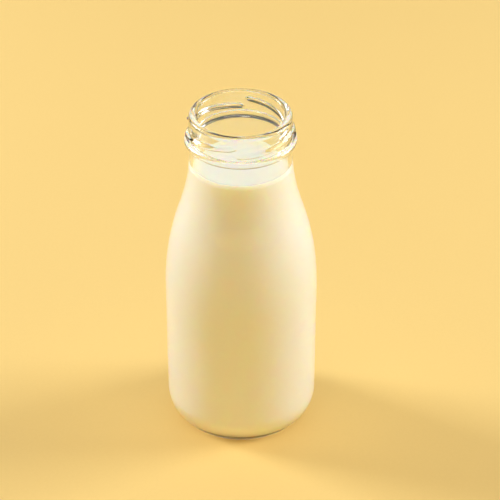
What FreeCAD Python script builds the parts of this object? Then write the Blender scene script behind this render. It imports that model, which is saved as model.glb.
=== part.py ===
# A small clear-glass milk bottle with a four-lug twist-off neck, uncapped and full of milk.
# Two solids: the bottle, and the milk that fills it face to face up to its level.
# Millimetres, +Z up.  The origin is the middle of the base, on the surface the bottle stands on.
import FreeCAD, Part
import math
import os
import Sketcher

doc = FreeCAD.newDocument("MilkBottle")

# Driving dimensions, one row each.  Depths are measured down from the rim.
sizes = {
    # overall
    "totalHeight": 138.0,
    "bodyDiameter": 60.0,
    "neckDiameter": 39.2,
    # glass thicknesses
    "wallThickness": 2.4,
    "finishWall": 3.1,
    "baseThickness": 3.0,
    # outer outline, from the base up
    "pushUpHeight": 2.0,
    "standRingWidth": 2.4,
    "heelLowRadius": 4.0,
    "heelLowAngle": 45.0,
    "heelHighRadius": 13.0,
    "shoulderRadius": 110.0,
    "neckBlendRadius": 83.0,
    "neckLength": 14.5,
    # inner outline; boreLength is the straight part of the bore, down from the rim
    "boreLength": 4.0,
    "insideCornerRadius": 8.0,
    # bead under the lugs; reach is how far it stands out from the neck
    "beadReach": 1.8,
    "beadRadius": 1.4,
    "beadDepth": 10.8,
    "beadFillet": 0.4,
    # rounding of the rim
    "rimOuterRadius": 1.4,
    "rimInnerRadius": 1.2,
    # lugs: each drops clockwise from its head to its tail, steeper at first
    "lugCount": 4,
    "lugRadius": 1.1,
    "lugBallRadius": 1.15,
    "lugReach": 1.1,
    "lugHeadDepth": 4.4,
    "lugHeadAzimuth": 83.2,
    "lugLeadAngle": 60.0,
    "lugLeadDrop": 2.8,
    "lugTailAngle": 25.6,
    "lugTailDrop": 0.6,
    # milk
    "milkDepth": 20.8,
}

sheet = doc.addObject("Spreadsheet::Sheet", "Sizes")
for row, (alias, number) in enumerate(sizes.items(), start=1):
    sheet.set(f"A{row}", alias)
    sheet.set(f"B{row}", str(number))
    sheet.setAlias(f"B{row}", alias)
doc.recompute()

# What follows from the driving dimensions, as expressions on the sheet.
bodyRadius = "Sizes.bodyDiameter / 2"
neckRadius = "Sizes.neckDiameter / 2"
insideRadius = "Sizes.bodyDiameter / 2 - Sizes.wallThickness"
boreRadius = "Sizes.neckDiameter / 2 - Sizes.finishWall"
neckFoot = "Sizes.totalHeight - Sizes.neckLength"
boreFoot = "Sizes.totalHeight - Sizes.boreLength"
heelInset = "Sizes.heelHighRadius - (Sizes.heelHighRadius - Sizes.heelLowRadius) * sin(Sizes.heelLowAngle)"
pushUpRadius = f"({bodyRadius} - ({heelInset}) - Sizes.standRingWidth)"
domeRadius = f"({pushUpRadius} ^ 2 + Sizes.pushUpHeight ^ 2) / (2 * Sizes.pushUpHeight)"
floorHeight = "Sizes.pushUpHeight + Sizes.baseThickness"
insideShoulderRadius = "Sizes.shoulderRadius - Sizes.wallThickness"
arcsSum = "(Sizes.shoulderRadius + Sizes.neckBlendRadius)"
arcsStep = "(Sizes.bodyDiameter / 2 - Sizes.neckDiameter / 2)"
shoulderFoot = f"{neckFoot} - sqrt(2 * {arcsSum} * {arcsStep} - {arcsStep} ^ 2)"
beadHeight = "Sizes.totalHeight - Sizes.beadDepth"
beadRing = f"{neckRadius} + Sizes.beadReach - Sizes.beadRadius"
lugRing = f"{neckRadius} + Sizes.lugReach - Sizes.lugRadius"
lugHeadHeight = "Sizes.totalHeight - Sizes.lugHeadDepth"
lugBendHeight = f"{lugHeadHeight} - Sizes.lugLeadDrop"
lugTailHeight = f"{lugBendHeight} - Sizes.lugTailDrop"
lugBendAzimuth = "Sizes.lugHeadAzimuth - Sizes.lugLeadAngle"
lugTailAzimuth = f"{lugBendAzimuth} - Sizes.lugTailAngle"
milkLevel = "Sizes.totalHeight - Sizes.milkDepth"


def worked(expression):
    """The plain number that an expression on the sheet gives."""
    result = sheet.evalExpression(expression)
    return float(getattr(result, "Value", result))


# ---- drawing in sketches: x is the distance from the axis, y is the height

ORIGIN = (-1, 1)
AXIS_LINE = -2
START, END, CENTRE = 1, 2, 3


def point(x, y):
    return FreeCAD.Vector(x, y, 0)


def line(x0, y0, x1, y1):
    """A straight edge, with the ends that come first and last along the outline."""
    return Part.LineSegment(point(x0, y0), point(x1, y1)), START, END


def arc(x, y, radius, fromAngle, toAngle):
    """An arc about (x, y); it runs clockwise where toAngle is the smaller angle."""
    low, high = sorted((fromAngle, toAngle))
    circle = Part.Circle(point(x, y), FreeCAD.Vector(0, 0, 1), radius)
    edge = Part.ArcOfCircle(circle, math.radians(low), math.radians(high))
    if toAngle < fromAngle:
        return edge, END, START
    return edge, START, END


def originPlane(body, role):
    for feature in body.Origin.OriginFeatures:
        if feature.Role == role:
            return feature
    raise ValueError(f"no {role}")


def newSketch(body, name, role):
    sketch = body.newObject("Sketcher::SketchObject", name)
    sketch.AttachmentSupport = [(originPlane(body, role), "")]
    sketch.MapMode = "FlatFace"
    return sketch


def drawLoop(sketch, edges):
    """Draws a closed outline.  Each edge is (edge, first end, last end, smooth into the next)."""
    for edge, _, _, _ in edges:
        sketch.addGeometry(edge, False)
    for here, (_, _, last, smooth) in enumerate(edges):
        following = (here + 1) % len(edges)
        join = "Tangent" if smooth else "Coincident"
        sketch.addConstraint(Sketcher.Constraint(join, here, last, following, edges[following][1]))


def bind(sketch, name, expression, kind, *where):
    """Adds a named dimension and ties it to the sheet."""
    number = worked(expression)
    if kind == "Angle":
        number = math.radians(number)
    sketch.addConstraint(Sketcher.Constraint(kind, *where, number))
    sketch.renameConstraint(sketch.ConstraintCount - 1, name)
    sketch.setExpression(f"Constraints.{name}", expression)


def tie(sketch, kind, *where):
    sketch.addConstraint(Sketcher.Constraint(kind, *where))


def turnedRound(body, kind, name, sketch):
    feature = body.newObject(kind, name)
    feature.Profile = sketch
    feature.ReferenceAxis = (sketch, ["V_Axis"])
    feature.Angle = 360.0
    doc.recompute()
    return feature


# ---- outlines


def drawOutside(sketch):
    """The glass as if it were solid: push-up, standing ring, heel, wall, shoulder and neck."""
    body, neck, total = worked(bodyRadius), worked(neckRadius), worked("Sizes.totalHeight")
    low, lowAngle = worked("Sizes.heelLowRadius"), worked("Sizes.heelLowAngle")
    high = worked("Sizes.heelHighRadius")
    dome, pushUp, rise = worked(domeRadius), worked(pushUpRadius), worked("Sizes.pushUpHeight")
    shoulder, blend = worked("Sizes.shoulderRadius"), worked("Sizes.neckBlendRadius")
    foot, top = worked(shoulderFoot), worked(neckFoot)

    split = lowAngle - 90
    heelX = body - high
    lowX = heelX + (high - low) * math.cos(math.radians(split))
    heelTop = low - (high - low) * math.sin(math.radians(split))
    domeEdge = math.degrees(math.acos(pushUp / dome))
    sweep = math.degrees(math.acos(1 - (body - neck) / (shoulder + blend)))

    edges = [
        (*arc(0, rise - dome, dome, 90, domeEdge), False),
        (*line(pushUp, 0, lowX, 0), True),
        (*arc(lowX, low, low, -90, split), True),
        (*arc(heelX, heelTop, high, split, 0), True),
        (*line(body, heelTop, body, foot), True),
        (*arc(body - shoulder, foot, shoulder, 0, sweep), True),
        (*arc(neck + blend, top, blend, 180 + sweep, 180), True),
        (*line(neck, top, neck, total), False),
        (*line(neck, total, 0, total), False),
        (*line(0, total, 0, rise), False),
    ]
    drawLoop(sketch, edges)
    domeArc, ring, lowArc, highArc, wall, shoulderArc, blendArc, neckLine, lid, _ = range(len(edges))
    tie(sketch, "PointOnObject", domeArc, CENTRE, AXIS_LINE)
    tie(sketch, "PointOnObject", domeArc, END, AXIS_LINE)
    tie(sketch, "PointOnObject", lid, END, AXIS_LINE)
    tie(sketch, "Horizontal", ring)
    tie(sketch, "Horizontal", lid)
    tie(sketch, "Vertical", wall)
    tie(sketch, "Vertical", neckLine)
    tie(sketch, "PointOnObject", ring, START, -1)
    bind(sketch, "pushUpRadius", pushUpRadius, "DistanceX", *ORIGIN, ring, START)
    bind(sketch, "pushUpHeight", "Sizes.pushUpHeight", "DistanceY", *ORIGIN, domeArc, END)
    bind(sketch, "heelLowRadius", "Sizes.heelLowRadius", "Radius", lowArc)
    bind(sketch, "heelLowAngle", "Sizes.heelLowAngle", "Angle", lowArc)
    bind(sketch, "heelHighRadius", "Sizes.heelHighRadius", "Radius", highArc)
    bind(sketch, "bodyRadius", bodyRadius, "DistanceX", *ORIGIN, wall, START)
    bind(sketch, "shoulderRadius", "Sizes.shoulderRadius", "Radius", shoulderArc)
    bind(sketch, "neckBlendRadius", "Sizes.neckBlendRadius", "Radius", blendArc)
    bind(sketch, "neckRadius", neckRadius, "DistanceX", *ORIGIN, neckLine, START)
    bind(sketch, "neckFoot", neckFoot, "DistanceY", *ORIGIN, neckLine, START)
    bind(sketch, "totalHeight", "Sizes.totalHeight", "DistanceY", *ORIGIN, lid, END)


def drawInside(sketch):
    """The hollow up to the rim: domed floor, round corner, wall, shoulder and bore."""
    wallX, bore, total = worked(insideRadius), worked(boreRadius), worked("Sizes.totalHeight")
    floor, corner = worked(floorHeight), worked("Sizes.insideCornerRadius")
    dome = worked(domeRadius) + worked("Sizes.baseThickness")
    shoulder = worked(insideShoulderRadius)
    foot, top = worked(shoulderFoot), worked(boreFoot)

    # the corner arc touches the dome and the wall
    cornerX = wallX - corner
    touch = math.acos(cornerX / (dome + corner))
    cornerY = floor - dome + (dome + corner) * math.sin(touch)
    touch = math.degrees(touch)
    # the blend arc touches the shoulder arc and the bore, with its centre level with the bore's foot
    shoulderX = wallX - shoulder
    across = bore - shoulderX
    blend = (across**2 + (top - foot) ** 2 - shoulder**2) / (2 * (shoulder - across))
    sweep = math.degrees(math.atan2(top - foot, across + blend))

    edges = [
        (*arc(0, floor - dome, dome, 90, touch), True),
        (*arc(cornerX, cornerY, corner, 180 + touch, 360), True),
        (*line(wallX, cornerY, wallX, foot), True),
        (*arc(shoulderX, foot, shoulder, 0, sweep), True),
        (*arc(bore + blend, top, blend, 180 + sweep, 180), True),
        (*line(bore, top, bore, total), False),
        (*line(bore, total, 0, total), False),
        (*line(0, total, 0, floor), False),
    ]
    drawLoop(sketch, edges)
    domeArc, cornerArc, wall, shoulderArc, _, boreLine, lid, _ = range(len(edges))
    tie(sketch, "PointOnObject", domeArc, CENTRE, AXIS_LINE)
    tie(sketch, "PointOnObject", domeArc, END, AXIS_LINE)
    tie(sketch, "PointOnObject", lid, END, AXIS_LINE)
    tie(sketch, "Horizontal", lid)
    tie(sketch, "Vertical", wall)
    tie(sketch, "Vertical", boreLine)
    bind(sketch, "floorHeight", floorHeight, "DistanceY", *ORIGIN, domeArc, END)
    bind(sketch, "domeRadius", f"{domeRadius} + Sizes.baseThickness", "Radius", domeArc)
    bind(sketch, "cornerRadius", "Sizes.insideCornerRadius", "Radius", cornerArc)
    bind(sketch, "insideRadius", insideRadius, "DistanceX", *ORIGIN, wall, START)
    bind(sketch, "shoulderRadius", insideShoulderRadius, "Radius", shoulderArc)
    bind(sketch, "shoulderFoot", shoulderFoot, "DistanceY", *ORIGIN, shoulderArc, START)
    bind(sketch, "boreRadius", boreRadius, "DistanceX", *ORIGIN, boreLine, START)
    bind(sketch, "boreFoot", boreFoot, "DistanceY", *ORIGIN, boreLine, START)
    bind(sketch, "totalHeight", "Sizes.totalHeight", "DistanceY", *ORIGIN, lid, END)


def drawCircle(sketch, x, y, radius):
    """A circle at (x, y), each of the three an expression on the sheet."""
    circle = Part.Circle(point(worked(x), worked(y)), FreeCAD.Vector(0, 0, 1), worked(radius))
    sketch.addGeometry(circle, False)
    bind(sketch, "across", x, "DistanceX", *ORIGIN, 0, CENTRE)
    bind(sketch, "up", y, "DistanceY", *ORIGIN, 0, CENTRE)
    bind(sketch, "radius", radius, "Radius", 0)


# ---- the bottle


def edgesAt(feature, radius, height, reach=0.6):
    """Names of the feature's circular edges of this radius within reach of this height."""
    names = []
    for number, edge in enumerate(feature.Shape.Edges, start=1):
        if edge.Degenerated or not isinstance(edge.Curve, Part.Circle):
            continue
        circle = edge.Curve
        if abs(circle.Radius - radius) < 0.01 and abs(circle.Center.z - height) < reach:
            names.append(f"Edge{number}")
    return names


def rounded(body, name, base, edgeNames, radius):
    feature = body.newObject("PartDesign::Fillet", name)
    feature.Base = (base, edgeNames)
    feature.setExpression("Radius", radius)
    doc.recompute()
    return feature


def addLugStretch(body, name, azimuth, height):
    """A round rope, half sunk in the neck, that climbs anticlockwise from azimuth and height.

    The sheet holds how far it turns and climbs, as the name's own Angle and Drop.
    """
    alias = name[0].lower() + name[1:]
    sketch = newSketch(body, f"{name}Section", "XZ_Plane")
    sketch.AttachmentOffset = FreeCAD.Placement(
        FreeCAD.Vector(0, 0, 0), FreeCAD.Rotation(FreeCAD.Vector(0, 1, 0), worked(azimuth))
    )
    sketch.setExpression("AttachmentOffset.Rotation.Angle", azimuth)
    drawCircle(sketch, lugRing, height, "Sizes.lugRadius")
    doc.recompute()
    rope = body.newObject("PartDesign::AdditiveHelix", name)
    rope.Profile = sketch
    rope.ReferenceAxis = (sketch, ["V_Axis"])
    rope.Mode = "height-turns-angle"
    rope.setExpression("Height", f"Sizes.{alias}Drop")
    rope.setExpression("Turns", f"Sizes.{alias}Angle / 360")
    rope.LeftHanded = False
    doc.recompute()
    return rope


def addLugBall(body, name, azimuth, height):
    """A ball that rounds off a lug's end, or the bend between its two stretches."""
    ball = body.newObject("PartDesign::AdditiveSphere", name)
    ball.setExpression("Radius", "Sizes.lugBallRadius")
    ball.setExpression("Placement.Base.x", f"({lugRing}) * cos({azimuth})")
    ball.setExpression("Placement.Base.y", f"({lugRing}) * sin({azimuth})")
    ball.setExpression("Placement.Base.z", height)
    doc.recompute()
    return ball


def addRing(body, name, features, upright):
    """Repeats the features round the neck, one set for each lug."""
    ring = body.newObject("PartDesign::PolarPattern", name)
    ring.Originals = features
    ring.Axis = (upright, ["V_Axis"])
    ring.Angle = 360.0
    ring.setExpression("Occurrences", "Sizes.lugCount")
    body.Tip = ring
    doc.recompute()


def makeBottle():
    body = doc.addObject("PartDesign::Body", "Bottle")
    body.Label = "bottle"

    outside = newSketch(body, "Outside", "XZ_Plane")
    drawOutside(outside)
    turnedRound(body, "PartDesign::Revolution", "Blank", outside)

    beadSection = newSketch(body, "BeadSection", "XZ_Plane")
    drawCircle(beadSection, beadRing, beadHeight, "Sizes.beadRadius")
    bead = turnedRound(body, "PartDesign::Revolution", "Bead", beadSection)
    beadRoots = edgesAt(bead, worked(neckRadius), worked(beadHeight), 2 * worked("Sizes.beadRadius"))
    beadFoot = rounded(body, "BeadRoots", bead, beadRoots, "Sizes.beadFillet")

    inside = newSketch(body, "Inside", "XZ_Plane")
    drawInside(inside)
    hollow = turnedRound(body, "PartDesign::Groove", "Hollow", inside)
    if hollow.Shape.Volume > 0.6 * beadFoot.Shape.Volume:
        raise RuntimeError("the hollow was not cut")

    top = worked("Sizes.totalHeight")
    outerLip = edgesAt(hollow, worked(neckRadius), top)
    rim = rounded(body, "RimOutside", hollow, outerLip, "Sizes.rimOuterRadius")
    innerLip = edgesAt(rim, worked(boreRadius), top)
    rounded(body, "RimInside", rim, innerLip, "Sizes.rimInnerRadius")

    ropes = [
        addLugStretch(body, "LugTail", lugTailAzimuth, lugTailHeight),
        addLugStretch(body, "LugLead", lugBendAzimuth, lugBendHeight),
    ]
    addRing(body, "LugRopes", ropes, inside)
    balls = [
        addLugBall(body, "LugTailEnd", lugTailAzimuth, lugTailHeight),
        addLugBall(body, "LugBend", lugBendAzimuth, lugBendHeight),
        addLugBall(body, "LugHead", "Sizes.lugHeadAzimuth", lugHeadHeight),
    ]
    addRing(body, "LugEnds", balls, inside)
    return body


# ---- the milk


def makeMilk():
    body = doc.addObject("PartDesign::Body", "Milk")
    body.Label = "milk"

    inside = newSketch(body, "Filling", "XZ_Plane")
    drawInside(inside)
    full = turnedRound(body, "PartDesign::Revolution", "Brimful", inside)

    surface = newSketch(body, "Surface", "XY_Plane")
    surface.setExpression("AttachmentOffset.Base.z", milkLevel)
    drawCircle(surface, "0", "0", bodyRadius)
    doc.recompute()
    levelCut = body.newObject("PartDesign::Pocket", "LevelCut")
    levelCut.Profile = surface
    levelCut.Type = "ThroughAll"
    levelCut.Reversed = True
    body.Tip = levelCut
    doc.recompute()
    above = math.pi * worked(boreRadius) ** 2 * worked("Sizes.milkDepth")
    if not 0.9 * above < full.Shape.Volume - levelCut.Shape.Volume < 1.2 * above:
        raise RuntimeError("the milk was not cut at its level")
    return body


def checkDocument():
    for item in doc.Objects:
        if {"Invalid", "Error"} & set(item.State):
            raise RuntimeError(f"{item.Name} failed: {item.State}")


bottle = makeBottle()
milk = makeMilk()
doc.recompute()
checkDocument()

os.makedirs("parts", exist_ok=True)
for piece in (bottle, milk):
    piece.Placement = FreeCAD.Placement()
    shape = piece.Shape
    if shape.isNull() or not shape.isValid() or len(shape.Solids) != 1:
        raise RuntimeError(f"{piece.Label} is not one valid solid")
    box = shape.optimalBoundingBox()
    across, high = max(box.XLength, box.YLength), box.ZLength
    print(f"{piece.Label}: {shape.Volume / 1000:.2f} ml, {across:.2f} across, {high:.2f} high")
for piece in (bottle, milk):
    piece.Shape.exportStep(f"parts/{piece.Label}.step")
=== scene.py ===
# A small milk bottle of clear glass, uncapped and full, on a pale table top.
import bpy
import math
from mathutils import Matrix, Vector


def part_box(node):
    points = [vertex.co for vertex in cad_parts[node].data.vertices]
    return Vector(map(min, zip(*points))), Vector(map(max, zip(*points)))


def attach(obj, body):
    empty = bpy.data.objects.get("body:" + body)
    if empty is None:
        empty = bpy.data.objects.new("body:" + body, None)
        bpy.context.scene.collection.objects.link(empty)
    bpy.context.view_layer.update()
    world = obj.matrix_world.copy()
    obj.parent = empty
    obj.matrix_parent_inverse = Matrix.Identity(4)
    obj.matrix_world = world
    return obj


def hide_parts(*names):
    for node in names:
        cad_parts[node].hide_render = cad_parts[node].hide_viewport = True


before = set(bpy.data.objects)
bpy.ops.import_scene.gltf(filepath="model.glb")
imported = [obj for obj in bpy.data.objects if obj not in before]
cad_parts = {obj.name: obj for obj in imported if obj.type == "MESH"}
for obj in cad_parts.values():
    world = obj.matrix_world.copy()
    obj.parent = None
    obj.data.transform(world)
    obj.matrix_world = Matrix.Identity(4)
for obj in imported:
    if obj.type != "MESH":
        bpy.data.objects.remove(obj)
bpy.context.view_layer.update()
print("frame loaded:", sorted(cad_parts))

mm = 0.001
touching = 0.001 * mm            # points closer together than this are one
bottleLow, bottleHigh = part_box("bottle")
milkLow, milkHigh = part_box("milk")
rimHeight = bottleHigh.z
bodyRadius = (bottleHigh.x - bottleLow.x) / 2
milkLevel = milkHigh.z
insideRadius = (milkHigh.x - milkLow.x) / 2

# node settings that come up again and again
add = {"operation": "ADD"}
subtract = {"operation": "SUBTRACT"}
multiply = {"operation": "MULTIPLY"}
multiplyAdd = {"operation": "MULTIPLY_ADD"}
divide = {"operation": "DIVIDE"}
smaller = {"operation": "MINIMUM"}
larger = {"operation": "MAXIMUM"}
cosine = {"operation": "COSINE"}
arctangent = {"operation": "ARCTAN2"}
scaled = {"operation": "SCALE"}
unitLength = {"operation": "NORMALIZE"}
eased = {"interpolation_type": "SMOOTHSTEP"}
ofColours = {"data_type": "RGBA"}    # a mix of inputs 6 and 7 comes from output 2
ofNumbers = {"data_type": "FLOAT"}
onPoints = {"data_type": "FLOAT", "domain": "POINT"}


def hexColour(code):
    # sRGB hex to the linear values that Blender's sockets take
    channels = [int(code[i:i + 2], 16) / 255 for i in (1, 3, 5)]
    linear = [c / 12.92 if c <= 0.04045 else ((c + 0.055) / 1.055) ** 2.4 for c in channels]
    return (*linear, 1.0)


def addNode(tree, kind, settings=None, **inputs):
    # one node with its settings; inputs go by name, or by i and their number, and each is a value,
    # a socket to link from, or a node, which stands for its first output
    node = tree.nodes.new(kind)
    for name, value in (settings or {}).items():
        setattr(node, name, value)
    for name, value in inputs.items():
        socket = node.inputs[int(name[1:])] if name[1:].isdigit() else node.inputs[name.replace("_", " ")]
        if isinstance(value, bpy.types.Node):
            value = value.outputs[0]
        if isinstance(value, bpy.types.NodeSocket):
            tree.links.new(value, socket)
        else:
            socket.default_value = value
    return node


def arcPoints(x, z, radius, fromAngle, toAngle, count):
    # this many points along an arc, its last one left to the next stretch
    turn = math.radians(toAngle - fromAngle) / count
    start = math.radians(fromAngle)
    return [(x + radius * math.cos(start + turn * i), z + radius * math.sin(start + turn * i))
            for i in range(count)]


def linePoints(x0, z0, x1, z1, count):
    # the same along a straight line
    return [(x0 + (x1 - x0) * i / count, z0 + (z1 - z0) * i / count) for i in range(count)]


# sizes of the glass, as the CAD part has them
glass = {
    "wall": 2.4 * mm,            # body and shoulder
    "finishWall": 3.1 * mm,      # neck
    "neckRadius": 19.6 * mm,
    "neckLength": 14.5 * mm,     # straight part, down from the rim
    "boreLength": 4.0 * mm,      # straight part of the bore, down from the rim
    "base": 3.0 * mm,
    "pushUpHeight": 2.0 * mm,
    "standRing": 2.4 * mm,       # width of the flat ring it stands on
    "heelLow": 4.0 * mm,         # radius of the heel's lower arc
    "heelHigh": 13.0 * mm,       # and of its upper one
    "heelAngle": 45,             # degrees round, where they meet
    "shoulder": 110.0 * mm,      # radius of the shoulder
    "neckBlend": 83.0 * mm,      # and of the hollow curve up to the neck
    "insideCorner": 8.0 * mm,
    "beadReach": 1.8 * mm,       # how far the bead stands out
    "beadRadius": 1.4 * mm,
    "beadDepth": 10.8 * mm,      # its middle, below the rim
    "beadFillet": 0.5 * mm,
    "beadUnderside": 57,         # its slope below, in degrees from the wall
    "rimOuter": 1.4 * mm,        # rounding of the lip outside
    "rimInner": 1.2 * mm,        # and inside
    "around": 288,               # columns of faces round the bottle
}


def ringEdges():
    # inner and outer radius of the flat ring it stands on
    g = glass
    heelX = bodyRadius - g["heelHigh"]
    outer = heelX + (g["heelHigh"] - g["heelLow"]) * math.sin(math.radians(g["heelAngle"]))
    return outer - g["standRing"], outer


def shoulderFoot():
    # height at which the straight wall ends, from the two tangent arcs above it
    reach = glass["shoulder"] + glass["neckBlend"]
    step = bodyRadius - glass["neckRadius"]
    return rimHeight - glass["neckLength"] - math.sqrt(2 * reach * step - step * step)


def domeRadius(pushUpEdge):
    rise = glass["pushUpHeight"]
    return (pushUpEdge ** 2 + rise ** 2) / (2 * rise)


def outsideOutline():
    # from the middle of the push-up, out to the heel and up to the rim
    g = glass
    ringInside, ringOutside = ringEdges()
    dome = domeRadius(ringInside)
    domeEdge = math.degrees(math.acos(ringInside / dome))
    heelX = bodyRadius - g["heelHigh"]
    heelTop = g["heelLow"] + (g["heelHigh"] - g["heelLow"]) * math.cos(math.radians(g["heelAngle"]))
    foot = shoulderFoot()
    reach = g["shoulder"] + g["neckBlend"]
    sweep = math.degrees(math.acos(1 - (bodyRadius - g["neckRadius"]) / reach))
    neckFoot = rimHeight - g["neckLength"]
    beadZ = rimHeight - g["beadDepth"]
    ring = g["neckRadius"] + g["beadReach"] - g["beadRadius"]
    # fillet circle between the neck and the bead: touches both
    fillet = g["beadFillet"]
    filletX = g["neckRadius"] + fillet
    filletUp = math.sqrt((g["beadRadius"] + fillet) ** 2 - (ring - filletX) ** 2)
    meet = math.degrees(math.atan2(filletUp, filletX - ring))
    # below, a straight underside runs from the bead's arc to a fillet on the neck
    under = math.radians(g["beadUnderside"])
    lipX, lipZ = ring + g["beadRadius"] * math.cos(under), beadZ - g["beadRadius"] * math.sin(under)
    filletLow = lipZ + ((filletX - lipX) * math.cos(under) - fillet) / math.sin(under)
    flankX, flankZ = filletX - fillet * math.cos(under), filletLow + fillet * math.sin(under)
    rimX, rimZ = g["neckRadius"] - g["rimOuter"], rimHeight - g["rimOuter"]
    points = arcPoints(0, g["pushUpHeight"] - dome, dome, 90, domeEdge, 12)
    points += linePoints(ringInside, 0, ringOutside, 0, 6)
    points += arcPoints(ringOutside, g["heelLow"], g["heelLow"], -90, g["heelAngle"] - 90, 8)
    points += arcPoints(heelX, heelTop, g["heelHigh"], g["heelAngle"] - 90, 0, 12)
    points += linePoints(bodyRadius, heelTop, bodyRadius, foot, 16)
    points += arcPoints(bodyRadius - g["shoulder"], foot, g["shoulder"], 0, sweep, 16)
    points += arcPoints(g["neckRadius"] + g["neckBlend"], neckFoot, g["neckBlend"], 180 + sweep, 180, 16)
    points += linePoints(g["neckRadius"], neckFoot, g["neckRadius"], filletLow, 3)
    points += arcPoints(filletX, filletLow, fillet, 180, 180 - g["beadUnderside"], 4)
    points += linePoints(flankX, flankZ, lipX, lipZ, 6)
    points += arcPoints(ring, beadZ, g["beadRadius"], -g["beadUnderside"], meet, 18)
    points += arcPoints(filletX, beadZ + filletUp, fillet, 180 + meet, 180, 4)
    # close rows here, for the lugs
    points += linePoints(g["neckRadius"], beadZ + filletUp, g["neckRadius"], rimZ, 56)
    points += arcPoints(rimX, rimZ, g["rimOuter"], 0, 90, 9)
    points.append((rimX, rimHeight))
    return points


def insideOutline(out=0.0):
    # from the middle of the inside floor up to the bore; out pushes it into the glass
    g = glass
    wallX = insideRadius + out
    corner = g["insideCorner"] + out
    dome = domeRadius(ringEdges()[0]) + g["base"] - out
    floor = g["pushUpHeight"] + g["base"] - out
    cornerX = wallX - corner
    touch = math.degrees(math.acos(cornerX / (dome + corner)))
    cornerZ = floor - dome + (dome + corner) * math.sin(math.radians(touch))
    foot, boreFoot = shoulderFoot(), rimHeight - g["boreLength"]
    shoulder = g["shoulder"] - g["wall"] + out
    shoulderX = wallX - shoulder
    bore = g["neckRadius"] - g["finishWall"] + out
    across = bore - shoulderX
    blend = (across ** 2 + (boreFoot - foot) ** 2 - shoulder ** 2) / (2 * (shoulder - across))
    sweep = math.degrees(math.atan2(boreFoot - foot, across + blend))
    points = arcPoints(0, floor - dome, dome, 90, touch, 10)
    points += arcPoints(cornerX, cornerZ, corner, touch - 180, 0, 14)
    points += linePoints(wallX, cornerZ, wallX, foot, 12)
    points += arcPoints(shoulderX, foot, shoulder, 0, sweep, 16)
    points += arcPoints(bore + blend, boreFoot, blend, 180 + sweep, 180, 22)
    return points, bore, boreFoot


# what the mould and the blowing leave on the bottle
moulded = {
    "partings": [110, 290],      # degrees round, where the two halves of the mould meet
    "seamHeight": 0.07 * mm,
    "seamWidth": 0.5 * mm,
    "seamFoot": 0.8 * mm,        # the parting lines start this far above the table
    "waveHeight": 0.14 * mm,     # the blown inside is never quite even
    "waveSize": 26 * mm,
    "waveSeed": 4.0,
    "waveFloorFade": 8 * mm,     # it fades out over this, down to the inside floor
    "waveRimFade": 5 * mm,       # and over this, up to the rim
    "knurls": 72,                # shallow notches in the ring it stands on
    "knurlDepth": 0.18 * mm,
    "knurlMargin": 0.3 * mm,     # they end this far inside the ring's edges
}

# how much of each kind of relief a point of an outline takes
weightNames = ("lugWeight", "seamWeight", "wallWeight", "ringWeight")


def bottleOutline():
    # once round the glass: outside from the push-up to the rim, then down the bore to the inside floor
    outside = outsideOutline()
    inside, bore, boreFoot = insideOutline()
    rimX, rimZ = bore + glass["rimInner"], rimHeight - glass["rimInner"]
    down = arcPoints(rimX, rimZ, glass["rimInner"], 90, 180, 8)
    down += linePoints(bore, rimZ, bore, boreFoot, 14)
    floor = glass["pushUpHeight"] + glass["base"]
    points = outside + down + [(bore, boreFoot)] + inside[:0:-1] + [(0, floor)]
    lugLow = rimHeight - glass["beadDepth"] + glass["beadRadius"]
    lugHigh = rimHeight - glass["rimOuter"]
    ringInside, ringOutside = ringEdges()
    margin = moulded["knurlMargin"]
    weights = {name: [] for name in weightNames}
    for i, (x, z) in enumerate(points):
        isOutside = i < len(outside)
        fromFloor = min(max((z - floor) / moulded["waveFloorFade"], 0.0), 1.0)
        fromRim = min(max((rimHeight - z) / moulded["waveRimFade"], 0.0), 1.0)
        isRing = isOutside and abs(z) < touching and ringInside + margin < x < ringOutside - margin
        weights["lugWeight"].append(float(isOutside and lugLow < z <= lugHigh))
        weights["seamWeight"].append(float(isOutside and moulded["seamFoot"] < z < lugHigh))
        weights["wallWeight"].append(0.0 if isOutside else fromFloor * fromRim)
        weights["ringWeight"].append(float(isRing))
    return points, weights


milkSurface = {
    "intoGlass": 0.5 * mm,       # how far the milk reaches into the wall, so no air gap shows
    "edgeGap": 0.4 * mm,         # its side's last row stays at least this far below the level
    "meniscusRise": 1.5 * mm,    # how far the edge climbs up the glass
    "meniscusReach": 1.9 * mm,   # the curve flattens out over a few times this
    "rows": 26,                  # rows of faces from the edge to the middle
    "crowding": 1.8,             # above 1 the rows crowd towards the edge
    "around": 192,               # columns of faces round the milk
}


def milkOutline():
    # from the middle of the floor up the side to the level, then in along the curved surface
    into = milkSurface["intoGlass"]
    pushed = insideOutline(out=into)[0]
    points = [p for p in pushed if p[1] < milkLevel - milkSurface["edgeGap"]]
    # the wall's radius at the milk's level, between the outline's two nearest points
    inside, bore, boreFoot = insideOutline()
    below = max((p for p in inside if p[1] <= milkLevel), key=lambda p: p[1])
    above = min((p for p in inside + [(bore, boreFoot)] if p[1] > milkLevel), key=lambda p: p[1])
    share = (milkLevel - below[1]) / (above[1] - below[1])
    wallX = below[0] + (above[0] - below[0]) * share
    points.append((wallX + into, milkLevel))
    for i in range(milkSurface["rows"] + 1):
        x = wallX * (1 - (i / milkSurface["rows"]) ** milkSurface["crowding"])
        drop = milkSurface["meniscusRise"] * (1 - math.exp(-(wallX - x) / milkSurface["meniscusReach"]))
        points.append((x, milkLevel - drop))
    return points, {name: [0.0] * len(points) for name in weightNames}


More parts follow.
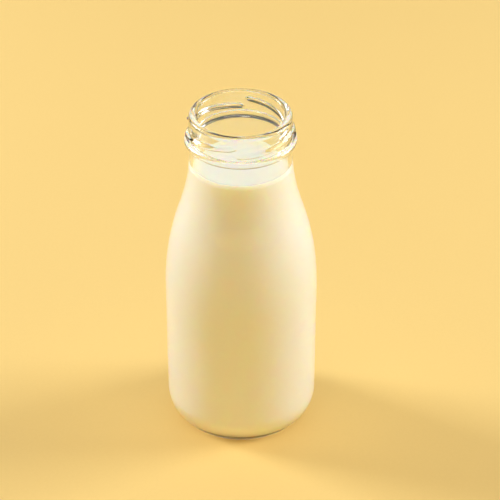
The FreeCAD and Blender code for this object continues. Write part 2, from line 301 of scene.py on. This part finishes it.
def newTree(name, sockets):
    # an empty tree, the outputs of its group input, and its group output
    tree = bpy.data.node_groups.new(name, "GeometryNodeTree")
    tree.interface.new_socket("Geometry", in_out="OUTPUT", socket_type="NodeSocketGeometry")
    for label, kind in sockets:
        tree.interface.new_socket(label, in_out="INPUT", socket_type="NodeSocket" + kind)
    start = addNode(tree, "NodeGroupInput")
    end = addNode(tree, "NodeGroupOutput")
    return tree, start.outputs, end


def endTree(tree, given, end, shaped):
    # every tree ends in real geometry, with its material set
    real = addNode(tree, "GeometryNodeRealizeInstances", Geometry=shaped)
    finished = addNode(tree, "GeometryNodeSetMaterial", Geometry=real, Material=given["Material"])
    tree.links.new(finished.outputs[0], end.inputs[0])


def makeTurnTree():
    # turns an outline mesh once round the upright axis
    tree, given, end = newTree("turnOutline", [
        ("Geometry", "Geometry"), ("Outline", "Object"), ("Columns", "Int"),
        ("Merge Distance", "Float"), ("Material", "Material")])
    outline = addNode(tree, "GeometryNodeObjectInfo", i0=given["Outline"]).outputs["Geometry"]
    size = addNode(tree, "GeometryNodeAttributeDomainSize", {"component": "MESH"}, Geometry=outline)
    rows = size.outputs["Point Count"]
    # the last column lies on the first one, and merges with it
    columns = addNode(tree, "ShaderNodeMath", add, i0=given["Columns"], i1=1.0)
    grid = addNode(tree, "GeometryNodeMeshGrid", Vertices_X=columns, Vertices_Y=rows)
    index = addNode(tree, "GeometryNodeInputIndex")
    row = addNode(tree, "ShaderNodeMath", {"operation": "MODULO"}, i0=index, i1=rows)
    share = addNode(tree, "ShaderNodeMath", divide, i0=index, i1=rows)
    column = addNode(tree, "ShaderNodeMath", {"operation": "FLOOR"}, i0=share)
    part = addNode(tree, "ShaderNodeMath", divide, i0=column, i1=given["Columns"])
    angle = addNode(tree, "ShaderNodeMath", multiply, i0=part, i1=2 * math.pi)
    place = addNode(tree, "GeometryNodeInputPosition")
    here = addNode(tree, "GeometryNodeSampleIndex", {"data_type": "FLOAT_VECTOR", "domain": "POINT"},
                   Geometry=outline, Value=place, Index=row)
    turned = addNode(tree, "ShaderNodeVectorRotate", {"rotation_type": "Z_AXIS"}, Vector=here, Angle=angle)
    shaped = addNode(tree, "GeometryNodeSetPosition", Geometry=grid, Position=turned)
    for name in weightNames:
        weight = addNode(tree, "GeometryNodeInputNamedAttribute", ofNumbers, Name=name)
        weightHere = addNode(tree, "GeometryNodeSampleIndex", onPoints, Geometry=outline, Value=weight,
                             Index=row)
        shaped = addNode(tree, "GeometryNodeStoreNamedAttribute", onPoints, Geometry=shaped, Name=name,
                         Value=weightHere)
    merged = addNode(tree, "GeometryNodeMergeByDistance", Geometry=shaped, Distance=given["Merge Distance"])
    smooth = addNode(tree, "GeometryNodeSetShadeSmooth", Geometry=merged)
    endTree(tree, given, end, smooth)
    return tree


lugs = {
    "count": 4,
    "height": 1.15 * mm,         # how far a lug stands out
    "upperHalf": 1.9 * mm,       # from its crest up to its soft foot
    "lowerHalf": 1.06 * mm,      # and down to its steep one
    "endStart": -1.2 * mm,       # each end starts to rise here, beyond its angle
    "endTaper": 1.6 * mm,        # and is full here, inside it
    "endWidth": 0.45,            # share of its width that an end starts with
    "headDepth": 4.4 * mm,       # its middle, below the rim
    "headAzimuth": 83.2,         # degrees anticlockwise from +X, seen from above
    "leadAngle": 60,             # degrees round over which it slopes down
    "leadDrop": 2.8 * mm,
    "tailAngle": 25.6,           # and over which it runs on, nearly level
    "tailDrop": 0.6 * mm,
    # height across a lug from its crest to its foot, both as shares
    "section": [(0.0, 1.0), (0.12, 0.98), (0.22, 0.89), (0.82, 0.09), (0.91, 0.02), (1.0, 0.0)],
}


def makeLugTree():
    # raises the sloping lugs out of the neck, one in each equal share of a turn
    tree, given, end = newTree("raiseLugs", [
        ("Geometry", "Geometry"), ("Count", "Int"), ("Height", "Float"), ("Upper Half", "Float"),
        ("Lower Half", "Float"), ("End Start", "Float"), ("End Taper", "Float"), ("End Width", "Float"),
        ("Head Height", "Float"), ("Head Azimuth", "Float"), ("Lead Angle", "Float"),
        ("Lead Drop", "Float"), ("Tail Angle", "Float"), ("Tail Drop", "Float"),
        ("Neck Radius", "Float"), ("Material", "Material")])
    place = addNode(tree, "GeometryNodeInputPosition")
    axes = addNode(tree, "ShaderNodeSeparateXYZ", i0=place).outputs
    azimuth = addNode(tree, "ShaderNodeMath", arctangent, i0=axes["Y"], i1=axes["X"])
    pitch = addNode(tree, "ShaderNodeMath", divide, i0=2 * math.pi, i1=given["Count"])
    fromHead = addNode(tree, "ShaderNodeMath", subtract, i0=given["Head Azimuth"], i1=azimuth)
    turned = addNode(tree, "ShaderNodeMath", {"operation": "FLOORED_MODULO"}, i0=fromHead, i1=pitch)
    whole = addNode(tree, "ShaderNodeMath", add, i0=given["Lead Angle"], i1=given["Tail Angle"])
    raised = None
    for shift in (-1.0, 0.0, 1.0):
        # this lug, and the ends of its neighbours that reach past it
        along = addNode(tree, "ShaderNodeMath", multiplyAdd, i0=pitch, i1=shift, i2=turned)
        atMost = addNode(tree, "ShaderNodeMath", smaller, i0=along, i1=whole)
        held = addNode(tree, "ShaderNodeMath", larger, i0=atMost, i1=0.0)
        # each end rises and widens over a short stretch of the neck
        left = addNode(tree, "ShaderNodeMath", subtract, i0=whole, i1=along)
        nearer = addNode(tree, "ShaderNodeMath", smaller, i0=along, i1=left)
        fromEnd = addNode(tree, "ShaderNodeMath", multiply, i0=nearer, i1=given["Neck Radius"])
        taper = addNode(tree, "ShaderNodeMapRange", eased, Value=fromEnd, From_Min=given["End Start"],
                        From_Max=given["End Taper"])
        width = addNode(tree, "ShaderNodeMapRange", Value=taper, To_Min=given["End Width"])
        # its middle slopes down from its head, first fast and then slowly
        lead = addNode(tree, "ShaderNodeMapRange", Value=held, From_Max=given["Lead Angle"],
                       To_Max=given["Lead Drop"])
        tail = addNode(tree, "ShaderNodeMapRange", Value=held, From_Min=given["Lead Angle"],
                       From_Max=whole, To_Max=given["Tail Drop"])
        drop = addNode(tree, "ShaderNodeMath", add, i0=lead, i1=tail)
        middle = addNode(tree, "ShaderNodeMath", subtract, i0=given["Head Height"], i1=drop)
        # how far across the lug this point is, from 0 on its crest to 1 at its foot
        off = addNode(tree, "ShaderNodeMath", subtract, i0=axes["Z"], i1=middle)
        offUp = addNode(tree, "ShaderNodeMath", larger, i0=off, i1=0.0)
        offDown = addNode(tree, "ShaderNodeMath", smaller, i0=off, i1=0.0)
        above = addNode(tree, "ShaderNodeMath", divide, i0=offUp, i1=given["Upper Half"])
        below = addNode(tree, "ShaderNodeMath", divide, i0=offDown, i1=given["Lower Half"])
        both = addNode(tree, "ShaderNodeMath", add, i0=above, i1=below)
        across = addNode(tree, "ShaderNodeMath", {"operation": "ABSOLUTE"}, i0=both)
        wide = addNode(tree, "ShaderNodeMath", divide, i0=across, i1=width)
        share = addNode(tree, "ShaderNodeMath", smaller, i0=wide, i1=1.0)
        section = addNode(tree, "ShaderNodeFloatCurve", Value=share)
        points = section.mapping.curves[0].points
        for spot, height in lugs["section"][1:-1]:
            points.new(spot, height)
        points[0].location = lugs["section"][0]
        points[-1].location = lugs["section"][-1]
        section.mapping.update()
        here = addNode(tree, "ShaderNodeMath", multiply, i0=section, i1=taper)
        raised = here if raised is None else addNode(tree, "ShaderNodeMath", larger, i0=raised, i1=here)
    weight = addNode(tree, "GeometryNodeInputNamedAttribute", ofNumbers, Name="lugWeight")
    full = addNode(tree, "ShaderNodeMath", multiply, i0=raised, i1=given["Height"])
    height = addNode(tree, "ShaderNodeMath", multiply, i0=full, i1=weight)
    level = addNode(tree, "ShaderNodeCombineXYZ", X=axes["X"], Y=axes["Y"])
    outward = addNode(tree, "ShaderNodeVectorMath", unitLength, i0=level)
    push = addNode(tree, "ShaderNodeVectorMath", scaled, i0=outward, Scale=height)
    shaped = addNode(tree, "GeometryNodeSetPosition", Geometry=given["Geometry"], Offset=push)
    endTree(tree, given, end, shaped)
    return tree


def makeMouldTree():
    # parting lines, an uneven inside and a knurled standing ring
    tree, given, end = newTree("mouldMarks", [
        ("Geometry", "Geometry"), ("First Parting", "Float"), ("Second Parting", "Float"),
        ("Seam Height", "Float"), ("Seam Width", "Float"), ("Wave Height", "Float"), ("Wave Size", "Float"),
        ("Wave Seed", "Float"), ("Knurls", "Int"), ("Knurl Depth", "Float"), ("Material", "Material")])
    place = addNode(tree, "GeometryNodeInputPosition")
    axes = addNode(tree, "ShaderNodeSeparateXYZ", i0=place).outputs
    level = addNode(tree, "ShaderNodeCombineXYZ", X=axes["X"], Y=axes["Y"])
    azimuth = addNode(tree, "ShaderNodeMath", arctangent, i0=axes["Y"], i1=axes["X"])
    radius = addNode(tree, "ShaderNodeVectorMath", {"operation": "LENGTH"}, i0=level).outputs["Value"]
    weights = {name: addNode(tree, "GeometryNodeInputNamedAttribute", ofNumbers, Name=name)
               for name in ("seamWeight", "wallWeight", "ringWeight")}
    seam = None
    for parting in ("First Parting", "Second Parting"):
        apart = addNode(tree, "ShaderNodeMath", subtract, i0=azimuth, i1=given[parting])
        away = addNode(tree, "ShaderNodeMath", cosine, i0=apart)
        atMost = addNode(tree, "ShaderNodeMath", smaller, i0=away, i1=1.0)
        angle = addNode(tree, "ShaderNodeMath", {"operation": "ARCCOSINE"}, i0=atMost)
        arc = addNode(tree, "ShaderNodeMath", multiply, i0=angle, i1=radius)
        ridge = addNode(tree, "ShaderNodeMapRange", eased, Value=arc, From_Max=given["Seam Width"],
                        To_Min=given["Seam Height"], To_Max=0.0)
        seam = ridge if seam is None else addNode(tree, "ShaderNodeMath", larger, i0=seam, i1=ridge)
    # slow waves in and out, as a blown wall has inside
    fineness = addNode(tree, "ShaderNodeMath", divide, i0=1.0, i1=given["Wave Size"])
    noise = addNode(tree, "ShaderNodeTexNoise", {"noise_dimensions": "4D"}, Vector=place,
                    W=given["Wave Seed"], Scale=fineness, Detail=1.0, Roughness=0.4)
    centred = addNode(tree, "ShaderNodeMath", subtract, i0=noise, i1=0.5)
    twice = addNode(tree, "ShaderNodeMath", multiply, i0=given["Wave Height"], i1=2.0)
    wave = addNode(tree, "ShaderNodeMath", multiply, i0=centred, i1=twice)
    seamPush = addNode(tree, "ShaderNodeMath", multiply, i0=seam, i1=weights["seamWeight"])
    wavePush = addNode(tree, "ShaderNodeMath", multiply, i0=wave, i1=weights["wallWeight"])
    along = addNode(tree, "ShaderNodeMath", add, i0=seamPush, i1=wavePush)
    outward = addNode(tree, "ShaderNodeVectorMath", unitLength, i0=level)
    push = addNode(tree, "ShaderNodeVectorMath", scaled, i0=outward, Scale=along)
    # the notches lift the standing ring a little off the table, in even waves round it
    turns = addNode(tree, "ShaderNodeMath", multiply, i0=azimuth, i1=given["Knurls"])
    teeth = addNode(tree, "ShaderNodeMath", cosine, i0=turns)
    raised = addNode(tree, "ShaderNodeMath", multiplyAdd, i0=teeth, i1=0.5, i2=0.5)
    notch = addNode(tree, "ShaderNodeMath", multiply, i0=raised, i1=given["Knurl Depth"])
    up = addNode(tree, "ShaderNodeMath", multiply, i0=notch, i1=weights["ringWeight"])
    lift = addNode(tree, "ShaderNodeCombineXYZ", Z=up)
    move = addNode(tree, "ShaderNodeVectorMath", add, i0=push, i1=lift)
    shaped = addNode(tree, "GeometryNodeSetPosition", Geometry=given["Geometry"], Offset=move)
    endTree(tree, given, end, shaped)
    return tree


def useTree(piece, tree, values):
    # a modifier's inputs are set by the sockets' identifiers
    modifier = piece.modifiers.new(tree.name, "NODES")
    modifier.node_group = tree
    sockets = {s.name: s.identifier for s in tree.interface.items_tree if s.in_out == "INPUT"}
    for name, value in values.items():
        modifier[sockets[name]] = value


def outlineObject(name, points, weights):
    # the outline as a mesh of edges that carries its weights
    mesh = bpy.data.meshes.new(name)
    mesh.from_pydata([(x, 0, z) for x, z in points], [(i, i + 1) for i in range(len(points) - 1)], [])
    for label, values in weights.items():
        mesh.attributes.new(label, "FLOAT", "POINT").data.foreach_set("value", values)
    holder = bpy.data.objects.new(name, mesh)
    bpy.context.scene.collection.objects.link(holder)
    return holder


def finishedMesh(piece, name):
    # the evaluated result as a plain mesh on an object of its own
    bpy.context.view_layer.update()
    graph = bpy.context.evaluated_depsgraph_get()
    mesh = bpy.data.meshes.new_from_object(piece.evaluated_get(graph), depsgraph=graph)
    mesh.name = name
    for attribute in [a.name for a in mesh.attributes if a.name in weightNames]:
        mesh.attributes.remove(mesh.attributes[attribute])
    result = bpy.data.objects.new(name, mesh)
    bpy.context.scene.collection.objects.link(result)
    bpy.data.objects.remove(piece)
    return result


def turnedPiece(name, outline, columns, material, furtherTrees=()):
    points, weights = outline
    holder = outlineObject(name + "Outline", points, weights)
    blank = bpy.data.objects.new(name + "Blank", bpy.data.meshes.new(name + "Blank"))
    bpy.context.scene.collection.objects.link(blank)
    useTree(blank, turnTree, {
        "Outline": holder,
        "Columns": columns,
        "Merge Distance": touching,
        "Material": material,
    })
    for tree, values in furtherTrees:
        useTree(blank, tree, values)
    piece = finishedMesh(blank, name)
    bpy.data.objects.remove(holder)
    print(name, "made:", len(piece.data.polygons), "faces")
    return piece


def newMaterial(name):
    material = bpy.data.materials.new(name)
    material.use_nodes = True
    tree = material.node_tree
    tree.nodes.clear()
    return material, tree, addNode(tree, "ShaderNodeOutputMaterial")


glassFinish = {
    "clear": "#FCFEFC",
    "greenish": "#F6FBF7",
    "passed": "#FDFEFD",         # what the wall leaves of the light that goes through to the milk
    "refraction": 1.52,          # soda-lime glass
    "tintSize": 30 * mm,
    "peelSize": 5 * mm,
    "peelHeight": 0.02 * mm,
    "peelStrength": 0.35,
}


def clearGlass():
    # blow-moulded soda-lime flint glass: colourless and glossy, hard bright edges, with the slight orange
    # peel of the mould, which shakes the reflections a little, and a trace of green where it is thick
    material, tree, output = newMaterial("blowMouldedSodaLimeGlass")
    finish = glassFinish
    place = addNode(tree, "ShaderNodeTexCoord").outputs["Object"]
    peel = addNode(tree, "ShaderNodeTexNoise", Vector=place, Scale=1 / finish["peelSize"], Detail=2.0,
                   Roughness=0.45)
    relief = addNode(tree, "ShaderNodeBump", Strength=finish["peelStrength"],
                     Distance=finish["peelHeight"], Height=peel)
    tint = addNode(tree, "ShaderNodeTexNoise", Vector=place, Scale=1 / finish["tintSize"], Detail=1.0)
    colour = addNode(tree, "ShaderNodeMix", ofColours, i0=tint, i6=hexColour(finish["clear"]),
                     i7=hexColour(finish["greenish"])).outputs[2]
    shader = addNode(tree, "ShaderNodeBsdfPrincipled", Base_Color=colour, Roughness=0.0,
                     IOR=finish["refraction"], Transmission_Weight=1.0, Normal=relief)
    # light reaches the milk through the glass, as it does through a thin clear wall
    passed = addNode(tree, "ShaderNodeBsdfTransparent", Color=hexColour(finish["passed"]))
    ray = addNode(tree, "ShaderNodeLightPath").outputs
    passing = addNode(tree, "ShaderNodeMath", larger, i0=ray["Is Shadow Ray"], i1=ray["Is Diffuse Ray"])
    mixed = addNode(tree, "ShaderNodeMixShader", i0=passing, i1=shader, i2=passed)
    tree.links.new(mixed.outputs[0], output.inputs["Surface"])
    return material


milkFinish = {
    "lean": "#FBF7EA",
    "creamy": "#FDFAF0",
    "film": "#F8EFD2",
    "refraction": 1.35,          # a little over water's
    "cloudSize": 16 * mm,
    "filmDepth": 1.6 * mm,       # how far down the film reaches from the level
    "filmSize": 6 * mm,
    "leastRough": 0.18,          # the wet sheen varies with the clouding
    "mostRough": 0.3,
    "skinSize": 9 * mm,
    "skinHeight": 0.1 * mm,
    "skinStrength": 0.25,
    "glowDepth": 6 * mm,         # how far light spreads inside
    "glowColour": (1.0, 0.7, 0.35),    # red spreads furthest and blue least
}


def wholeMilk():
    # whole milk: fat drops scatter the light, so it is opaque and softly lit, a warm creamy white, with
    # cream clouding it very faintly and gathering in a yellower film where the surface meets the glass
    material, tree, output = newMaterial("wholeMilk")
    finish = milkFinish
    place = addNode(tree, "ShaderNodeTexCoord").outputs["Object"]
    cloud = addNode(tree, "ShaderNodeTexNoise", Vector=place, Scale=1 / finish["cloudSize"], Detail=3.0,
                    Roughness=0.55, Distortion=0.6)
    body = addNode(tree, "ShaderNodeMix", ofColours, i0=cloud, i6=hexColour(finish["lean"]),
                   i7=hexColour(finish["creamy"])).outputs[2]
    height = addNode(tree, "ShaderNodeSeparateXYZ", i0=place).outputs["Z"]
    nearTop = addNode(tree, "ShaderNodeMapRange", eased, Value=height,
                      From_Min=milkLevel - finish["filmDepth"], From_Max=milkLevel)
    film = addNode(tree, "ShaderNodeTexNoise", Vector=place, Scale=1 / finish["filmSize"], Detail=2.0)
    share = addNode(tree, "ShaderNodeMath", multiply, i0=nearTop, i1=film)
    colour = addNode(tree, "ShaderNodeMix", ofColours, i0=share, i6=body,
                     i7=hexColour(finish["film"])).outputs[2]
    wet = addNode(tree, "ShaderNodeMapRange", Value=cloud, To_Min=finish["leastRough"],
                  To_Max=finish["mostRough"])
    skin = addNode(tree, "ShaderNodeTexNoise", Vector=place, Scale=1 / finish["skinSize"], Detail=2.0)
    relief = addNode(tree, "ShaderNodeBump", Strength=finish["skinStrength"],
                     Distance=finish["skinHeight"], Height=skin)
    shader = addNode(tree, "ShaderNodeBsdfPrincipled", Base_Color=colour, Roughness=wet,
                     IOR=finish["refraction"], Subsurface_Weight=1.0, Subsurface_Radius=finish["glowColour"],
                     Subsurface_Scale=finish["glowDepth"], Normal=relief)
    tree.links.new(shader.outputs[0], output.inputs["Surface"])
    return material


tableFinish = {
    "dark": "#EECE7E",
    "light": "#F2D282",
    "rough": 0.7,
    "fibreSize": 1.2 * mm,
    "fibreHeight": 0.05 * mm,
    "fibreStrength": 0.15,
    "half": 4.0,                 # metres from the middle of the table to its edges
}


def paleTable():
    # matt card, with the faint mottling of its fibres
    material, tree, output = newMaterial("paleCardTable")
    finish = tableFinish
    place = addNode(tree, "ShaderNodeTexCoord").outputs["Object"]
    fibres = addNode(tree, "ShaderNodeTexNoise", Vector=place, Scale=1 / finish["fibreSize"], Detail=4.0)
    colour = addNode(tree, "ShaderNodeMix", ofColours, i0=fibres, i6=hexColour(finish["dark"]),
                     i7=hexColour(finish["light"])).outputs[2]
    relief = addNode(tree, "ShaderNodeBump", Strength=finish["fibreStrength"],
                     Distance=finish["fibreHeight"], Height=fibres)
    shader = addNode(tree, "ShaderNodeBsdfPrincipled", Base_Color=colour, Roughness=finish["rough"],
                     Normal=relief)
    tree.links.new(shader.outputs[0], output.inputs["Surface"])
    return material


camera = {
    "lens": 137.9,               # mm, on a sensor this wide
    "sensor": 36,
    "nearest": 0.01,             # metres, where its view starts
    "distance": 0.752,           # metres from the point it aims at
    "elevation": 34.27,          # degrees above it
    "aimHeight": 75.9 * mm,
    "aside": 3.5 * mm,           # the bottle stands a little left of the middle
}


def makeCamera():
    lens = bpy.data.cameras.new("camera")
    lens.lens = camera["lens"]
    lens.sensor_width = camera["sensor"]
    lens.clip_start = camera["nearest"]
    eye = bpy.data.objects.new("camera", lens)
    tilt = math.radians(camera["elevation"])
    eye.location = (camera["aside"], -camera["distance"] * math.cos(tilt),
                    camera["aimHeight"] + camera["distance"] * math.sin(tilt))
    eye.rotation_euler = (math.pi / 2 - tilt, 0, 0)
    bpy.context.scene.collection.objects.link(eye)
    bpy.context.scene.camera = eye


light = {
    # azimuth and elevation in degrees, distance, width and height in metres, watts and colour
    "boxes": {
        "leftBox": (157, 26, 1.2, 0.35, 0.7, 11.4, "#F4F6FF"),    # the side boxes give the bright edges
        "rightBox": (13, 24, 1.2, 0.5, 0.7, 11.4, "#F4F6FF"),
        "topBox": (-90, 82, 1.1, 0.9, 0.35, 4.5, "#FFF2DC"),      # fills the front and the milk's surface
        "backStrip": (90, 36, 1.3, 1.3, 0.3, 1.2, "#FFFFFF"),     # glints along the rim and the bead
    },
    "roomColour": "#FFF9EE",
    "roomGlow": 0.07,            # everything else round the table is dim
    "frontColour": "#FFD06C",
    "frontGlow": 1.2,            # a warm bounce from low in front
    "frontHeights": (0.75, 0.2),       # where it starts and is full, as heights on a sphere of radius 1
    "frontDepths": (0.0, -0.8),        # and the same along Y
}


def softBox(name, azimuth, elevation, distance, width, height, power, colour):
    # a rectangular area light that faces the middle of the bottle
    lamp = bpy.data.lights.new(name, "AREA")
    lamp.shape = "RECTANGLE"
    lamp.size, lamp.size_y = width, height
    lamp.energy = power
    lamp.color = hexColour(colour)[:3]
    holder = bpy.data.objects.new(name, lamp)
    turn, tilt = math.radians(azimuth), math.radians(elevation)
    holder.location = (distance * math.cos(tilt) * math.cos(turn), distance * math.cos(tilt) * math.sin(turn),
                       rimHeight / 2 + distance * math.sin(tilt))
    holder.rotation_euler = (math.pi / 2 - tilt, 0, turn + math.pi / 2)
    bpy.context.scene.collection.objects.link(holder)


def makeWorld():
    # a dim room gives the glass its dark edges, and a warm glow low in front lights the bottle's front
    world = bpy.data.worlds.new("studio")
    world.use_nodes = True
    tree = world.node_tree
    tree.nodes.clear()
    direction = addNode(tree, "ShaderNodeTexCoord").outputs["Generated"]
    axes = addNode(tree, "ShaderNodeSeparateXYZ", i0=direction).outputs
    low = addNode(tree, "ShaderNodeMapRange", eased, Value=axes["Z"], From_Min=light["frontHeights"][0],
                  From_Max=light["frontHeights"][1])
    front = addNode(tree, "ShaderNodeMapRange", eased, Value=axes["Y"], From_Min=light["frontDepths"][0],
                    From_Max=light["frontDepths"][1])
    share = addNode(tree, "ShaderNodeMath", multiply, i0=low, i1=front)
    colour = addNode(tree, "ShaderNodeMix", ofColours, i0=share, i6=hexColour(light["roomColour"]),
                     i7=hexColour(light["frontColour"])).outputs[2]
    strength = addNode(tree, "ShaderNodeMapRange", Value=share, To_Min=light["roomGlow"],
                       To_Max=light["frontGlow"])
    glow = addNode(tree, "ShaderNodeBackground", Color=colour, Strength=strength)
    tree.links.new(glow.outputs[0], addNode(tree, "ShaderNodeOutputWorld").inputs["Surface"])
    bpy.context.scene.world = world


def makeStudio():
    for name, values in light["boxes"].items():
        softBox(name, *values)
    makeWorld()
    bpy.context.scene.view_settings.view_transform = "Standard"
    half = tableFinish["half"]
    mesh = bpy.data.meshes.new("table")
    corners = [(-half, -half, 0), (half, -half, 0), (half, half, 0), (-half, half, 0)]
    mesh.from_pydata(corners, [], [(0, 1, 2, 3)])
    mesh.materials.append(paleTable())
    table = bpy.data.objects.new("table", mesh)
    bpy.context.scene.collection.objects.link(table)


makeCamera()
makeStudio()
print("studio ready")

turnTree = makeTurnTree()
glassMaterial = clearGlass()
milkMaterial = wholeMilk()

lugValues = {
    "Count": lugs["count"],
    "Height": lugs["height"],
    "Upper Half": lugs["upperHalf"],
    "Lower Half": lugs["lowerHalf"],
    "End Start": lugs["endStart"],
    "End Taper": lugs["endTaper"],
    "End Width": lugs["endWidth"],
    "Head Height": rimHeight - lugs["headDepth"],
    "Head Azimuth": math.radians(lugs["headAzimuth"]),
    "Lead Angle": math.radians(lugs["leadAngle"]),
    "Lead Drop": lugs["leadDrop"],
    "Tail Angle": math.radians(lugs["tailAngle"]),
    "Tail Drop": lugs["tailDrop"],
    "Neck Radius": glass["neckRadius"],
    "Material": glassMaterial,
}
mouldValues = {
    "First Parting": math.radians(moulded["partings"][0]),
    "Second Parting": math.radians(moulded["partings"][1]),
    "Seam Height": moulded["seamHeight"],
    "Seam Width": moulded["seamWidth"],
    "Wave Height": moulded["waveHeight"],
    "Wave Size": moulded["waveSize"],
    "Wave Seed": moulded["waveSeed"],
    "Knurls": moulded["knurls"],
    "Knurl Depth": moulded["knurlDepth"],
    "Material": glassMaterial,
}
bottle = turnedPiece("glassBottle", bottleOutline(), glass["around"], glassMaterial,
                     [(makeLugTree(), lugValues), (makeMouldTree(), mouldValues)])
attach(bottle, "root")
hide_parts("bottle")

milk = turnedPiece("milkFill", milkOutline(), milkSurface["around"], milkMaterial)
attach(milk, "root")
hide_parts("milk")
